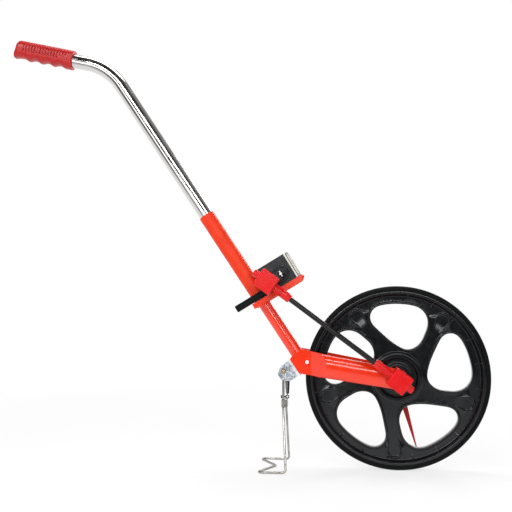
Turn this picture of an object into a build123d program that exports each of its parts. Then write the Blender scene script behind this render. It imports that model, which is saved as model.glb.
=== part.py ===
from build123d import *
import os
from math import sin, cos, tan, pi, radians, degrees, atan2, hypot, sqrt

os.makedirs("parts", exist_ok=True)

# ------------------------------------------------------------------ driving dimensions (mm)
WHEEL_R = 159.15          # one metre round the tyre
TYRE_HALF = 12.0          # half width of the tyre
RIM_OUT = 151.3           # tyre seat radius
RIM_IN = 144.0            # inner wall of the rim
WEB_HALF = 4.0            # half thickness of the web
LIP_HALF = 6.5            # half width of the lips round the holes
LIP_W = 4.0               # radial width of those lips
POCKET_W, POCKET_LIP = 3.4, 6.0  # rim round the pockets at the spoke ends, width and half thickness
HUB_R = 44.0              # outer boss
HUB_HALF = 13.0
CUP_R = 34.0              # turned recess in the boss
BOSS_R = 25.0             # inner boss
BOSS_HALF = 22.0
AXLE_R = 5.0
JOURNAL_R = 3.0
ARM_IN, ARM_OUT = 28.0, 38.0     # fork arm faces, distance from the wheel plane
CHEEK_IN, CHEEK_OUT = 14.9, 17.4 # flat cheeks of the arms at the tube
TUBE_ANGLE = 56.5         # slope of the tube below the horizontal, degrees
TUBE_X, TUBE_Z = -335.9, 443.2   # point on the tube axis where s = 0
TUBE_R, TUBE_WALL = 11.0, 1.2
TUBE_TOP, TUBE_END = -60.0, 303.0
SLEEVE_R, SLEEVE_BORE = 14.0, 12.8
SLEEVE_TOP, SLEEVE_END = -3.0, 177.3
HANDLE_R, HANDLE_BORE = 12.5, 11.3
HANDLE_END = 62.0         # lower end of the chrome tube, along s
HANDLE_BEND_S = -287.6    # where the bend starts
HANDLE_BEND_R = 104.0
HANDLE_BEND = 44.0        # degrees
GRIP_FROM, GRIP_TO = 27.0, 138.0   # along the straight after the bend
PLATE_S = 178.0           # top face of the counter bracket, on the tube axis
PLATE_TILT = 2.2          # degrees
YOKE_IN = 12.9            # inside faces of the yoke, clear of the tyre
BOX_Y1, BOX_Y0 = -38.0, -71.0    # gearbox, back and front face
BOX = 33.0
APEX_Y = -54.5            # where the gear axes cross
MITRE_Z, MITRE_M = 14, 1.25
SPUR_M = 1.0
DRUM_A, INPUT_A, AXIS_B = 55.0, 28.0, 19.8  # counter axes in the counter frame
DRUM_R = 17.0
PIVOT = (-197.7, 168.7)   # kickstand pivot X, Z
FIT = 0.05
XC, YC = -270.55, -5.2     # plan centre of the object, moved to the origin

A = radians(TUBE_ANGLE)
D2 = (cos(A), -sin(A))    # down the tube, in X, Z
N2 = (sin(A), cos(A))     # square to it, forward and up


def xz(n, s):
    return (TUBE_X + n * N2[0] + s * D2[0], TUBE_Z + n * N2[1] + s * D2[1])


be = radians(PLATE_TILT)
C0 = xz(0, PLATE_S)
CA = (N2[0] * cos(be) + D2[0] * sin(be), N2[1] * cos(be) + D2[1] * sin(be))    # forward along the plate
CB = (-CA[1], CA[0])                                                            # away from the plate, up the handle


def cpt(a_, b_):
    """Point in the counter frame: a_ forward along the plate, b_ above it."""
    return (C0[0] + CA[0] * a_ + CB[0] * b_, C0[1] + CA[1] * a_ + CB[1] * b_)


UPPER = cpt(INPUT_A, AXIS_B)   # X, Z of the upper gearbox centre, on the counter's input axis


def side(y, o=(0.0, 0.0), x=(1.0, 0.0)):
    """Plane standing on Y = y, x towards the direction given in X, Z, normal towards -Y."""
    return Plane(origin=(o[0], y, o[1]), x_dir=(x[0], 0, x[1]), z_dir=(0, -1, 0))


def prism(pts, y0, y1, o=(0.0, 0.0), x=(1.0, 0.0)):
    """Polygon in a side plane, from Y = y0 to y1."""
    a, b = min(y0, y1), max(y0, y1)
    pl = side(b, o, x)
    return extrude(pl * make_face(Polyline(*pts, close=True)), b - a)


def rod_y(cx, cz, r, y0, y1):
    a, b = min(y0, y1), max(y0, y1)
    return extrude(side(b, (cx, cz)) * Circle(r), b - a)


def ring_y(cx, cz, r, ri, y0, y1):
    a, b = min(y0, y1), max(y0, y1)
    return extrude(side(b, (cx, cz)) * (Circle(r) - Circle(ri)), b - a)


def along(o, d, r, length, ri=0.0):
    """Round bar or tube from point o along d."""
    pl = Plane(origin=o, z_dir=d)
    sk = Circle(r) - Circle(ri) if ri else Circle(r)
    return extrude(pl * sk, length)


def tube_s(r, ri, s0, s1):
    x, z = xz(0, s0)
    return along((x, 0, z), (D2[0], 0, D2[1]), r, s1 - s0, ri)


def save(shape, name):
    sh = Pos(-XC, -YC, 0) * shape
    export_step(sh, f"parts/{name}.step")
    SIZES[name] = sh.bounding_box()


SIZES = {}

# ------------------------------------------------------------------ wheel
# outline of one hole: radius from the hub and angle, every 10 degrees round its middle
HOLE = [(61.9, 60.4), (66.0, 62.7), (69.3, 65.5), (71.8, 68.8), (73.3, 72.2), (73.9, 75.7),
        (74.0, 81.9), (74.0, 90.1), (74.1, 96.2), (74.1, 99.9), (74.0, 104.1), (72.8, 108.4),
        (69.6, 112.0), (64.9, 114.3), (59.2, 114.5), (53.7, 112.5), (49.4, 110.3), (42.9, 105.7),
        (37.4, 99.9), (32.6, 90.6), (30.7, 83.6), (29.7, 74.7), (31.1, 66.0), (34.6, 60.2),
        (39.0, 57.2), (43.7, 56.4), (48.4, 57.1), (52.9, 58.0), (57.5, 58.9)]
HOLE_SCALE = 1.732


def hole_face(offs=0.0, turn=0.0):
    """The hole outline, moved outwards by offs along its own normal."""
    p = [(r * HOLE_SCALE * cos(radians(a + turn)), r * HOLE_SCALE * sin(radians(a + turn))) for r, a in HOLE]
    q = []
    k = len(p)
    for i in range(k):
        tx = p[(i + 1) % k][0] - p[i - 1][0]
        tz = p[(i + 1) % k][1] - p[i - 1][1]
        ln = hypot(tx, tz)
        q.append((p[i][0] + offs * tz / ln, p[i][1] - offs * tx / ln))
    return make_face(Spline(*q, periodic=True))


def pocket(k, grow=0.0):
    """Outline of the pocket at the outer end of a spoke."""
    t, t2 = radians(51.5 + 72 * k), radians(49.5 + 72 * k)
    c1 = (126.0 * cos(t), 126.0 * sin(t))
    c2 = (98.0 * cos(t2), 98.0 * sin(t2))
    return make_hull((Pos(*c1) * Circle(11.5 + grow)).edges() + (Pos(*c2) * Circle(3.6 + grow)).edges())


def wheel_disc():
    prof = make_face(Polyline((AXLE_R, -BOSS_HALF), (BOSS_R - 1.5, -BOSS_HALF), (BOSS_R, -BOSS_HALF + 1.5), (BOSS_R, -8),
                              (CUP_R, -8), (CUP_R, -HUB_HALF + 1), (CUP_R + 1, -HUB_HALF), (HUB_R - 3, -HUB_HALF), (HUB_R, -HUB_HALF + 3), (HUB_R + 1, -WEB_HALF),
                              (RIM_IN - 1, -WEB_HALF), (RIM_IN, -WEB_HALF - 1), (RIM_IN, -TYRE_HALF + 1.2), (RIM_IN + 1.2, -TYRE_HALF), (RIM_OUT, -TYRE_HALF),
                              (RIM_OUT, TYRE_HALF), (RIM_IN + 1.2, TYRE_HALF), (RIM_IN, TYRE_HALF - 1.2), (RIM_IN, WEB_HALF + 1), (RIM_IN - 1, WEB_HALF),
                              (HUB_R + 1, WEB_HALF), (HUB_R, HUB_HALF - 3), (HUB_R - 3, HUB_HALF), (CUP_R + 1, HUB_HALF), (CUP_R, HUB_HALF - 1), (CUP_R, 8),
                              (BOSS_R, 8), (BOSS_R, BOSS_HALF - 1.5), (BOSS_R - 1.5, BOSS_HALF), (AXLE_R, BOSS_HALF), close=True))
    body = revolve(prof, Axis.Y)                      # sketch x = radius, y = along the axle
    adds = []
    for k in range(5):
        adds.append(extrude(Plane.XZ.offset(-LIP_HALF) * hole_face(LIP_W, 72 * k), 2 * LIP_HALF))
        adds.append(extrude(Plane.XZ.offset(-POCKET_LIP) * pocket(k, POCKET_W), 2 * POCKET_LIP))
    body = body + adds
    cuts = []
    for k in range(5):
        cuts.append(extrude(Plane.XZ.offset(-20) * hole_face(0.0, 72 * k), 40))
    body = body - cuts
    # shallow pockets where each spoke widens into the rim, both faces
    cuts = []
    for k in range(5):
        for y in (-7.0, WEB_HALF - 2.0):
            cuts.append(extrude(Plane.XZ.offset(y) * pocket(k), 5.0))
    body = body - cuts
    # gussets between web and rim, twenty a side
    adds = []
    for k in range(20):
        t = 10.6 + 18 * k
        g = make_face(Polyline((136.0, WEB_HALF - 0.5), (RIM_IN + 0.5, WEB_HALF - 0.5), (RIM_IN + 0.5, 11.0), (RIM_IN - 1.0, 11.0), (136.0, WEB_HALF + 0.6), close=True))
        g = Pos(0, 0, -0.9) * extrude(g, 1.8)
        adds.append(Rot(0, -t, 0) * g)
        adds.append(Rot(0, -t, 0) * mirror(g, Plane.XZ))
    body = body + adds
    return Pos(0, 0, WHEEL_R) * body


wheel = wheel_disc()
save(wheel, "wheel_disc")

ty = make_face(Polyline((RIM_OUT, -TYRE_HALF - 0.4), (WHEEL_R - 4.5, -TYRE_HALF - 0.4), (WHEEL_R - 1.2, -TYRE_HALF + 1.6), (WHEEL_R, -TYRE_HALF + 5),
                        (WHEEL_R, TYRE_HALF - 5), (WHEEL_R - 1.2, TYRE_HALF - 1.6), (WHEEL_R - 4.5, TYRE_HALF + 0.4), (RIM_OUT, TYRE_HALF + 0.4), close=True))
save(Pos(0, 0, WHEEL_R) * revolve(ty, Axis.Y), "tyre")

axle = rod_y(0, WHEEL_R, AXLE_R, -37.6, 53.0) + rod_y(0, WHEEL_R, JOURNAL_R, -49.3, -37.0)
save(axle, "axle")
spacers = Compound(children=[ring_y(0, WHEEL_R, 14, AXLE_R, -25.4, -22), ring_y(0, WHEEL_R, 14, AXLE_R, 22, 25.4)])
save(spacers, "hub_spacers")
nut = extrude(side(53.0, (0, WHEEL_R)) * RegularPolygon(9.0, 6), 7.0) - rod_y(0, WHEEL_R, AXLE_R, 40, 60)
dome = Pos(0, 53.0, WHEEL_R) * (Sphere(7.6) & (Pos(0, 5, 0) * Box(30, 10, 30)))
save(nut + dome, "axle_nut")


# ------------------------------------------------------------------ gears
def mitre(origin, axis, turn, bore):
    """Mitre gear: apex at origin, its back pointing along axis."""
    pr = MITRE_M * MITRE_Z / 2
    k = 0.60
    c = cos(pi / 4)
    f = make_face(Polyline((bore, 5.95), (4.65, 5.95), (pr - 1.5 * c, pr + 1.5 * c), (8.5, 10.8), (8.5, 12.8), (bore, 12.8), close=True))
    b = revolve(Plane.XZ * f, Axis.Z)
    g = (c, c)
    v = (c, -c)

    def face(q):
        pts = []
        for h, w in ((-1.75, 1.30), (0.95, 0.34), (0.95, -0.34), (-1.75, -1.30)):
            L = pr / c
            pts.append(((L * g[0] + h * v[0]) * q, w * q, (L * g[1] + h * v[1]) * q))
        return make_face(Polyline(*pts, close=True))

    tooth = loft([face(1.0), face(k)])
    teeth = [Rot(0, 0, turn + 360.0 / MITRE_Z * i) * tooth for i in range(MITRE_Z)]
    b = b + teeth
    x = (0, 1, 0) if abs(axis[1]) < 0.5 else (1, 0, 0)
    return Plane(origin=origin, x_dir=x, z_dir=axis) * b


def spur(cx, cz, z, y0, y1, bore, turn=0.0, hub=None):
    """Spur gear standing on Y, teeth counted from +X of the given centre."""
    r = SPUR_M * z / 2
    pts = []
    for i in range(z):
        t0 = radians(turn + 360.0 / z * i)
        for rad, w in ((r - 1.25, -0.98), (r + 0.85, -0.30), (r + 0.85, 0.30), (r - 1.25, 0.98)):
            pts.append((rad * cos(t0) - w * sin(t0), rad * sin(t0) + w * cos(t0)))
    b = prism(pts, y0, y1, (cx, cz))
    if hub:
        b = b + rod_y(cx, cz, hub[0], hub[1], hub[2])
    return b - rod_y(cx, cz, bore, min(y0, y1) - 30, max(y0, y1) + 30)


L = (0.0, WHEEL_R)
SH = hypot(UPPER[0] - L[0], UPPER[1] - L[1])
US = ((UPPER[0] - L[0]) / SH, (UPPER[1] - L[1]) / SH)   # from the lower gearbox up to the upper one
HALF = 180.0 / MITRE_Z
save(mitre((0, APEX_Y, WHEEL_R), (0, 1, 0), degrees(atan2(-US[1], US[0])) + HALF, JOURNAL_R), "axle_gear")


# pinions stand on the drive rod; x_dir is +Y, so turn 0 puts a tooth towards +Y
def rod_point(t, y=APEX_Y):
    return (L[0] + US[0] * t, y, L[1] + US[1] * t)


ROD_R = 2.5
save(along(rod_point(6.2), (US[0], 0, US[1]), ROD_R, SH - 12.4), "drive_rod")
save(mitre(rod_point(0), (US[0], 0, US[1]), 0.0, ROD_R), "lower_pinion")
save(mitre(rod_point(SH), (-US[0], 0, -US[1]), 0.0, ROD_R), "upper_pinion")


# ------------------------------------------------------------------ gearboxes
def gearbox(at, sgn, bush_r):
    """Body and lid. The neck points along sgn * US."""
    ax = (US[0] * sgn, US[1] * sgn)
    sq = [(-BOX / 2, -BOX / 2), (BOX / 2, -BOX / 2), (BOX / 2, BOX / 2), (-BOX / 2, BOX / 2)]
    b = prism(sq, BOX_Y0 + 3, BOX_Y1, at, ax)
    b = chamfer(b.edges().filter_by(Axis.Y), 1.2)
    q = BOX / 2 - 3
    b = b - prism([(-q, -q), (q, -q), (q, q), (-q, q)], BOX_Y0, BOX_Y1 - 3, at, ax)
    d = (ax[0], 0, ax[1])
    o = (at[0], APEX_Y, at[1])

    def pt(t):
        return (o[0] + d[0] * t, o[1], o[2] + d[2] * t)

    neck = along(pt(BOX / 2 - 0.5), d, 6.2, 17.5) + along(pt(33), d, 7.2, 17.5)
    ribs = []
    for i in range(8):
        pl = Plane(origin=pt(BOX / 2 - 0.5), z_dir=d)
        ribs.append(extrude(pl * (Rot(0, 0, 45 * i) * (Pos(6.3, 0) * Rectangle(2.4, 1.4))), 32.5))
    neck = neck + ribs
    cap = along(pt(-BOX / 2 + 0.5), (-d[0], 0, -d[2]), 6.6, 11.5)
    cap = chamfer(cap.faces().sort_by(lambda f: (f.center().X * d[0] + f.center().Z * d[2]))[0].edges(), 1.6)
    b = b + neck + cap
    b = b - along(pt(10), d, ROD_R + FIT, 45)
    b = b - along(pt(34), d, 3.6, 4) - along(pt(36.5), d, 4.5, 20)
    b = b - along(pt(-10), (-d[0], 0, -d[2]), 4.6, 16)
    b = b - rod_y(at[0], at[1], bush_r, BOX_Y1 - 5, BOX_Y1 + 5)
    lid = prism(sq, BOX_Y0, BOX_Y0 + 3, at, ax)
    lid = chamfer(lid.edges().filter_by(Axis.Y), 1.2)
    lid = chamfer(lid.faces().sort_by(Axis.Y)[0].edges(), 0.8)
    p = q - 0.2
    lid = lid + (prism([(-p, -p), (p, -p), (p, p), (-p, p)], BOX_Y0 + 3, BOX_Y0 + 5, at, ax) - prism([(-p + 1.6, -p + 1.6), (p - 1.6, -p + 1.6), (p - 1.6, p - 1.6), (-p + 1.6, p - 1.6)], BOX_Y0 + 2.9, BOX_Y0 + 6, at, ax))
    return b, lid


gb, lid = gearbox(L, 1, 8.0)
save(gb, "lower_gearbox")
save(lid, "lower_gearbox_lid")
gb, lid = gearbox(UPPER, -1, 6.0)
save(gb, "upper_gearbox")
save(lid, "upper_gearbox_lid")
save(along(rod_point(36.7), (US[0], 0, US[1]), 4.5, SH - 73.4, 3.2), "shaft_guard")

# ------------------------------------------------------------------ axle bushes, pointer
near = rod_y(0, WHEEL_R, 8.0, -41.0, -28.0) + rod_y(0, WHEEL_R, 11.0, -28.0, -25.8)
near = near - rod_y(0, WHEEL_R, AXLE_R + FIT, -37.9, -20) - rod_y(0, WHEEL_R, JOURNAL_R + FIT, -50, -30)
save(near, "axle_bush_near")
far = rod_y(0, WHEEL_R, 8.0, 28.0, 45.0) + rod_y(0, WHEEL_R, 11.0, 25.8, 28.0)
far = far - rod_y(0, WHEEL_R, AXLE_R + FIT, 20, 50)
save(far, "axle_bush_far")
PT = (36.2, 29.9 - WHEEL_R)
pl_ = hypot(*PT)
px = (PT[0] / pl_, PT[1] / pl_)
ptr = prism([(0, -8.2), (22, -6.6), (pl_ - 1, -0.9), (pl_, 0), (pl_ - 1, 0.9), (22, 6.6), (0, 8.2)], 38.0, 40.0, (0, WHEEL_R), px)
ptr = ptr + rod_y(0, WHEEL_R, 12.5, 38.0, 40.0) - rod_y(0, WHEEL_R, 8.0, 30, 50)
save(ptr, "pointer")
pn = extrude(side(44.6, (0, WHEEL_R)) * RegularPolygon(12.0, 6), 4.6) - rod_y(0, WHEEL_R, 8.0, 30, 50)
save(pn, "pointer_nut")

# ------------------------------------------------------------------ fork
a1 = xz(-15.0, 294.0)
a0 = xz(-11.5, 291.5)
T0 = (-167.2, 208.3)
B0 = (-169.8, 165.8)


def tangent(p, r, up):
    """Where the line from p touches the circle of radius r about the hub."""
    dx, dz = p[0], p[1] - WHEEL_R
    dist = hypot(dx, dz)
    base = atan2(dz, dx)
    off = (pi / 2 - atan2(r, sqrt(dist * dist - r * r)))
    t = base - off if up else base + off
    return (r * cos(t), WHEEL_R + r * sin(t))


END_R = 17.2


def arm_outline(grow=0.0):
    r = END_R + grow
    t1 = tangent(T0, END_R, True)
    t2 = tangent(B0, END_R, False)
    k1 = (t1[0] * r / END_R, WHEEL_R + (t1[1] - WHEEL_R) * r / END_R)
    k2 = (t2[0] * r / END_R, WHEEL_R + (t2[1] - WHEEL_R) * r / END_R)
    up = (T0[0], T0[1] + grow)
    lo = (B0[0], B0[1] - grow)
    ln = Polyline(k2, lo, a1, a0, up, k1)
    arc = ThreePointArc(k1, (r, WHEEL_R), k2)
    return make_face(ln.edges() + arc.edges())


ARM_D = (-0.98657, 0.16335)   # along the arm, away from the hub


def crown(inset):
    """Long bar whose outer face is rounded across the arm."""
    pl = Plane(origin=(0, 0, WHEEL_R), x_dir=(ARM_D[1], 0, -ARM_D[0]), z_dir=(ARM_D[0], 0, ARM_D[1])).offset(-60)
    pts = [(-23.0, 22.0), (-21.0, 27.6), (-18.8, 31.4), (-15.5, 34.4), (-11.0, 36.5), (-5.5, 37.7), (0.0, ARM_OUT)]
    pts = pts + [(-w, y) for w, y in pts[:-1][::-1]]
    pts = [(w * (1 - 0.06 * inset), y - inset) for w, y in pts]
    ln = Spline(*pts)
    e = [Line(pts[-1], (pts[-1][0], -5)), Line((pts[-1][0], -5), (pts[0][0], -5)), Line((pts[0][0], -5), pts[0])]
    return extrude(pl * make_face([ln] + e), 290)


def fork_arm(sgn):
    plan = [(-192, CHEEK_IN), (-147, CHEEK_IN), (-120, ARM_IN), (30, ARM_IN), (30, ARM_OUT), (-122, ARM_OUT), (-149, CHEEK_OUT), (-192, CHEEK_OUT)]
    body = extrude(Plane(origin=(0, 0, 260), x_dir=(1, 0, 0), z_dir=(0, 0, 1)) * make_face(Polyline(*plan, close=True)), -160)
    shape = extrude(side(60) * arm_outline(), 60)
    b = body & shape
    b = b & crown(0.0)
    # pressed sheet: hollow on the wheel side
    t1 = tangent(T0, END_R, True)
    t2 = tangent(B0, END_R, False)
    inner = make_face(Polyline((-117, 160.5), (-117, 195.5), (-16, t1[1] - 1.5), (-16, t2[1] + 1.5), close=True))
    cut = extrude(side(ARM_OUT) * inner, ARM_OUT - ARM_IN + 1)
    b = b - (cut & crown(2.4))
    b = b - rod_y(0, WHEEL_R, 8.0, 20, 50) - rod_y(RIVET[0], RIVET[1], 3.0, 0, 30)
    if sgn < 0:
        b = mirror(b, Plane.XZ)
    return b


RIVET = xz(7.6, 313.7)
save(fork_arm(-1), "fork_arm_near")
save(fork_arm(1), "fork_arm_far")
pts = [xz(-14.1, 294.2), xz(14, 292.0), xz(20, 309.0), xz(-6, 322.5), xz(-14.1, 322.5)]
yoke = prism(pts, -CHEEK_IN, CHEEK_IN)
inner = [xz(-11.0, 280), xz(40, 280), xz(40, 340), xz(-11.0, 340)]
yoke = yoke - prism(inner, -YOKE_IN, YOKE_IN) - rod_y(RIVET[0], RIVET[1], 3.0, -30, 30)
scr = [xz(-12, 301.5), xz(-12, 318.0)]
for c in scr:
    yoke = yoke - along((c[0] - 10 * N2[0], 0, c[1] - 10 * N2[1]), (N2[0], 0, N2[1]), 2.0, 20)
save(yoke, "fork_yoke")
rivets = []
for sg in (-1, 1):
    dm = Pos(RIVET[0], sg * (CHEEK_OUT - 2.6), RIVET[1]) * Sphere(4.2)
    dm = dm & (Pos(RIVET[0], sg * (CHEEK_OUT + 5.0), RIVET[1]) * Box(20, 10, 20))
    rivets.append(rod_y(RIVET[0], RIVET[1], 3.0, sg * YOKE_IN, sg * (CHEEK_OUT + 0.2)) + dm)
save(Compound(children=rivets), "fork_rivets")

# ------------------------------------------------------------------ tubes
save(tube_s(TUBE_R, TUBE_R - TUBE_WALL, TUBE_TOP, TUBE_END - 0.0), "lower_tube")
sl = tube_s(SLEEVE_R, SLEEVE_BORE, SLEEVE_TOP, SLEEVE_END) - tube_s(13.3, 0, SLEEVE_TOP - 1, 9.5)
sl = chamfer(sl.edges().filter_by(GeomType.CIRCLE).filter_by(lambda e: abs(e.radius - SLEEVE_R) < 0.01), 0.5)
save(sl, "tube_sleeve")
save(tube_s(13.3, HANDLE_R + FIT, SLEEVE_TOP + 0.6, 9.5), "sleeve_bush")
save(tube_s(SLEEVE_BORE, TUBE_R, 173.3, SLEEVE_END), "sleeve_spacer")

p0 = xz(0, HANDLE_END)
p1 = xz(0, HANDLE_BEND_S)
ca = radians(HANDLE_BEND)
# bend turns the up-tube direction towards -X
up = (-D2[0], -D2[1])
lf = (-N2[0], -N2[1])
bc = (p1[0] + lf[0] * HANDLE_BEND_R, p1[1] + lf[1] * HANDLE_BEND_R)


def bend_pt(t):
    return (bc[0] - lf[0] * HANDLE_BEND_R * cos(t) + up[0] * HANDLE_BEND_R * sin(t),
            bc[1] - lf[1] * HANDLE_BEND_R * cos(t) + up[1] * HANDLE_BEND_R * sin(t))


p2 = bend_pt(ca)
pm = bend_pt(ca / 2)
E2 = (up[0] * cos(ca) + lf[0] * sin(ca), up[1] * cos(ca) + lf[1] * sin(ca))
M2 = (-E2[1], E2[0]) if E2[0] < 0 and -E2[1] < 0 else (E2[1], -E2[0])
if M2[1] < 0:
    M2 = (-M2[0], -M2[1])
p3 = (p2[0] + E2[0] * (GRIP_TO - 6), p2[1] + E2[1] * (GRIP_TO - 6))
v3 = lambda p: (p[0], 0, p[1])
path = Line(v3(p0), v3(p1)) + ThreePointArc(v3(p1), v3(pm), v3(p2)) + Line(v3(p2), v3(p3))
sec = Plane(origin=v3(p0), z_dir=(up[0], 0, up[1])) * (Circle(HANDLE_R) - Circle(HANDLE_BORE))
save(sweep(sec, path=path), "handle_tube")
save(tube_s(12.75, TUBE_R + FIT, HANDLE_END, HANDLE_END + 10), "handle_guide")


def g2(e, m):
    return (p2[0] + E2[0] * e + M2[0] * m, p2[1] + E2[1] * e + M2[1] * m)


# grip: rounded section, finger recesses underneath
def grip_body():
    n_f = 4
    e0, e1 = GRIP_FROM, GRIP_TO
    lower = []
    top = 18.0
    ridge, rec = -16.6, -14.0
    ln = e1 - e0
    pts_low = [(e0, -16.2), (e0 + 4.0, -16.8), (e0 + 10.0, -16.6)]
    step = 23.6
    for i in range(n_f):
        c = e0 + 24.0 + step * i
        pts_low += [(c - 7.0, -15.6), (c, rec), (c + 7.0, -15.6)] + ([(c + step / 2, ridge)] if i < n_f - 1 else [(e1, -16.8)])
    low = Spline(*[(a_, b_) for a_, b_ in pts_low])
    last = pts_low[-1]
    out = make_face((low + Line(last, (e1, 7.5)) + ThreePointArc((e1, 7.5), (e1 - 2.9, 15.0), (e1 - 10.0, top)) + Line((e1 - 10.0, top), (e0, top)) + Line((e0, top), pts_low[0])).edges())
    pl = Plane(origin=(p2[0], 16.0, p2[1]), x_dir=(E2[0], 0, E2[1]), z_dir=(0, -1, 0))
    flip = pl.y_dir.dot(Vector(M2[0], 0, M2[1])) < 0
    if flip:
        pl = Plane(origin=(p2[0], -16.0, p2[1]), x_dir=(E2[0], 0, E2[1]), z_dir=(0, 1, 0))
    b = extrude(pl * out, 32.0)
    rnd = [e for e in b.edges() if e.length > 25 and abs(abs(e.center().Y) - 16.0) < 0.1]
    return b, rnd


gbod, rnd = grip_body()
try:
    gbod = fillet(rnd, 9.0)
except Exception:
    try:
        gbod = chamfer(rnd, 5.0)
    except Exception:
        pass
bore = along(v3(g2(GRIP_FROM - 5, 0)), (E2[0], 0, E2[1]), HANDLE_R, GRIP_TO - GRIP_FROM - 1.0)
save(gbod - bore, "grip")

# ------------------------------------------------------------------ counter bracket, counter
def cbox(a0_, a1_, b0_, b1_, y0, y1):
    return prism([(a0_, b0_), (a1_, b0_), (a1_, b1_), (a0_, b1_)], y0, y1, C0, CA)


br = cbox(-16.5, 86, -2, 0, -28, 28)
FLANGE = [(-16.5, 0), (86, 0), (86, -2.4), (84.6, -4.6), (79.4, -8.8), (77.2, -9.5), (-16.5, -9.5)]
br = br + prism(FLANGE, -28, -26, C0, CA) + prism(FLANGE, 26, 28, C0, CA) + cbox(84, 86, -2.4, 0, -28, 28)
br = br - tube_s(TUBE_R, 0, 150, 230)
HOLES = [(36, -18), (36, 18), (71, -18), (71, 18)]


def bar_b(a_, y, r, b0_, b1_):
    """Round bar square to the plate."""
    o = cpt(a_, b0_)
    return along((o[0], y, o[1]), (CB[0], 0, CB[1]), r, b1_ - b0_)


for a_, y in HOLES:
    br = br - bar_b(a_, y, 1.75, -5, 3)
save(br, "counter_bracket")

HA0, HA1, HB1, HY, W = 16.2, 75.5, 47.5, 27.0, 2.4
hs = cbox(HA0, HA1, 0.0, HB1, -HY, HY)
hs = chamfer(hs.edges().filter_by(Axis.Y), 1.0)
hs = hs - cbox(HA0 + W, HA1 + 5, W, HB1 - W, -HY + W, HY + 5)
for a_, y in HOLES:
    hs = hs + (bar_b(a_, y, 3.6, W - 0.5, 5.0))
    hs = hs - bar_b(a_, y, 1.5, -1, 7)
NUM = cpt(DRUM_A, AXIS_B)
INP = cpt(INPUT_A, AXIS_B)
IDL = cpt((DRUM_A + INPUT_A) / 2, AXIS_B)
hs = hs - rod_y(NUM[0], NUM[1], 2.5, -40, 0) - rod_y(INP[0], INP[1], 6.0, -40, 0) - rod_y(IDL[0], IDL[1], 2.0, -40, 0)
hs = hs - cbox(10, HA0 + W + 1, 0.4, 17.0, -24.6, -15.4)      # slot for the lever
LEV = cpt(25.0, 6.6)
LEVER_Y0, LEVER_Y1 = -24.0, -16.0
hs = hs - rod_y(LEV[0], LEV[1], 1.5, -40, -20)
hs = hs + (rod_y(LEV[0], LEV[1], 3.2, -15.6, -12.5) + cbox(22.5, 27.5, W - 0.5, 5.0, -15.6, -12.5)) - rod_y(LEV[0], LEV[1], 1.5, -40, -11)
# ears for the side plate screws
EARS = [(HA0 + 5.6, HB1 - 5.6), (HA1 - 5.5, HB1 - 5.6), (HA1 - 4.5, 5.6)]
for a_, b_ in EARS:
    c = cpt(a_, b_)
    hs = hs + rod_y(c[0], c[1], 3.4, 14.0, HY - W) - rod_y(c[0], c[1], 1.3, 15.0, 40)
hs = hs + cbox(70.0, 71.3, 4.0, 43.5, -HY - 0.7, -HY + 0.3)
for a_, y in HOLES:
    hs = hs - bar_b(a_, y, 1.5, -1, 6)
save(hs, "counter_housing")

sp = cbox(HA0 + W + 0.1, HA1 - 0.1, W + 0.1, HB1 - W - 0.1, HY - W, HY)
sp = sp - rod_y(NUM[0], NUM[1], 2.5, 0, 40)
scs = None
for a_, b_ in EARS:
    c = cpt(a_, b_)
    sp = sp - rod_y(c[0], c[1], 1.6, 0, 40)
    s1 = rod_y(c[0], c[1], 1.3, HY - W - 7, HY) + rod_y(c[0], c[1], 2.6, HY, HY + 1.6)
    s1 = s1 - cbox(a_ - 3, a_ + 3, b_ - 0.35, b_ + 0.35, HY + 0.8, HY + 3)
    scs = [s1] if scs is None else scs + [s1]
save(sp, "counter_side_plate")
save(Compound(children=scs), "side_plate_screws")
ms = []
for a_, y in HOLES:
    ms.append(bar_b(a_, y, 1.5, -2.0, 4.0) + bar_b(a_, y, 2.9, -4.0, -2.0))
save(Compound(children=ms), "counter_mount_screws")

win = cbox(HA1, HA1 + 8.0, 0.6, HB1 - 0.4, -HY + 0.3, HY - 0.3)
win = chamfer(win.faces().sort_by(lambda f: (f.center().X * CA[0] + f.center().Z * CA[1]))[-1].edges(), 1.2)
win = win - cbox(HA1 - 1, HA1 + 6.2, 2.6, HB1 - 2.4, -HY + 2.3, HY - 2.3)
save(win, "counter_window")

save(rod_y(NUM[0], NUM[1], 2.5, -37.0, HY), "number_shaft")
DY0 = -18.0
for i in range(5):
    y0 = DY0 + 7.6 * i
    dr = ring_y(NUM[0], NUM[1], DRUM_R, DRUM_R - 2.2, y0, y0 + 7.2) + rod_y(NUM[0], NUM[1], DRUM_R - 1.0, y0 + 2.8, y0 + 4.4) + rod_y(NUM[0], NUM[1], 4.6, y0, y0 + 7.2)
    dr = dr - rod_y(NUM[0], NUM[1], 2.5 + FIT, y0 - 1, y0 + 9)
    save(dr, f"number_wheel_{i + 1}")
GY0, GY1 = -24.3, -19.6
ang = degrees(atan2(CA[1], CA[0]))
save(spur(NUM[0], NUM[1], 16, GY0, GY1, 2.5 + FIT, ang + 180, (4.6, GY1 - 0.2, DY0)), "drum_gear")
# idler has 11 teeth: a gap faces the input gear and, half a turn on, a tooth faces the drum gear gap
save(spur(IDL[0], IDL[1], 11, GY0, GY1, 2.0 + FIT, ang + 180.0 / 11), "idler_gear")
save(spur(INP[0], INP[1], 16, GY0, GY1, 3.0, ang + 180.0 / 16), "input_gear")
save(rod_y(IDL[0], IDL[1], 2.0, -HY, -19.0), "idler_pin")
save(rod_y(INP[0], INP[1], 3.0, -49.3, -18.8), "input_shaft")
save(mitre((INP[0], APEX_Y, INP[1]), (0, 1, 0), degrees(atan2(US[1], -US[0])) + HALF, 3.0), "input_mitre")
save(ring_y(INP[0], INP[1], 6.0, 3.0 + FIT, -41.0, -25.0), "input_bush")

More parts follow.
